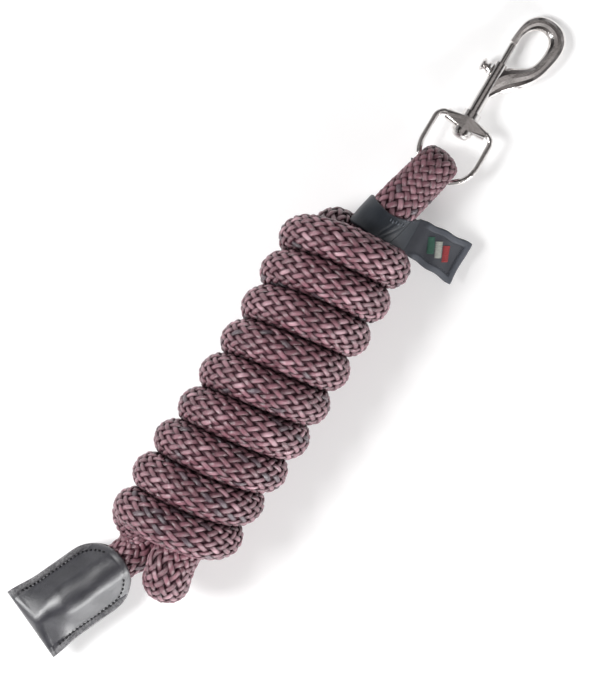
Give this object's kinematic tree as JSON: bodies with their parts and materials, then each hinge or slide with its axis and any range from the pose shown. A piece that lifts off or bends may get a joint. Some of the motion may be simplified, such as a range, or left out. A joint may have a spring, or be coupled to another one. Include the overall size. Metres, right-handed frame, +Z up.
{
  "type": "horse lead rope",
  "caption": "Braided horse lead rope wound into a hank, with an eye-spliced swivel bolt snap, a sewn ribbon label and a stitched leather end cap.",
  "frame": {"origin": "centre of the object's footprint, on the ground", "axes": "+X along the hank towards the snap, +Y to the side away from the label tab, +Z up"},
  "size_m": [0.4518, 0.1267, 0.0676],
  "materials": {
    "rope": "braided polypropylene, satin",
    "twine": "waxed twine",
    "cap_leather": "smooth black leather",
    "black_thread": "bonded thread",
    "ribbon": "woven ribbon, satin",
    "grey_thread": "thread",
    "pale_thread": "embroidery thread",
    "nickel": "bright nickel plate",
    "spring_steel": "drawn wire"
  },
  "bodies": {
    "rope": {"rope_hank": "rope", "rope_bight": "rope", "rope_tail": "rope", "rope_end": "rope", "rope_eye": "rope", "eye_whipping": "twine", "end_whipping": "twine", "leather_cap": "cap_leather", "cap_stitching": "black_thread", "label_band": "ribbon", "band_stitching": "grey_thread"},
    "tab": {"label_tab": "ribbon", "label_stitching": "grey_thread", "label_emblem": "pale_thread"},
    "ring": {"swivel_ring": "nickel", "swivel_washer": "nickel"},
    "snap": {"snap_body": "nickel", "bolt_spring": "spring_steel"},
    "bolt": {"snap_bolt": "nickel", "thumb_knob": "nickel"}
  },
  "joints": [
    {"name": "ring_pivot", "type": "hinge", "parent": "rope", "child": "ring", "pos_m": [0.11621, -0.02115, 0.0144], "axis": [0.2419, 0.9703, 0], "range_deg": [-85, 65]},
    {"name": "snap_swivel", "type": "hinge", "parent": "ring", "child": "snap", "pos_m": [0.15003, -0.02507, 0.01089], "axis": [0.9946, 0, -0.1033], "continuous": true},
    {"name": "bolt_slide", "type": "slide", "parent": "snap", "child": "bolt", "axis": [-0.9946, 0, 0.1033], "range_m": [0, 0.012], "stiffness_N_per_m": 400, "springref_m": -0.006, "deforming": ["bolt_spring"]},
    {"name": "label_flap", "type": "hinge", "parent": "rope", "child": "tab", "pos_m": [0.08021, -0.03045, 0.0245], "axis": [0.9998, 0.0175, 0], "range_deg": [-75, 12], "stiffness_Nm_per_rad": 0.01}
  ]
}
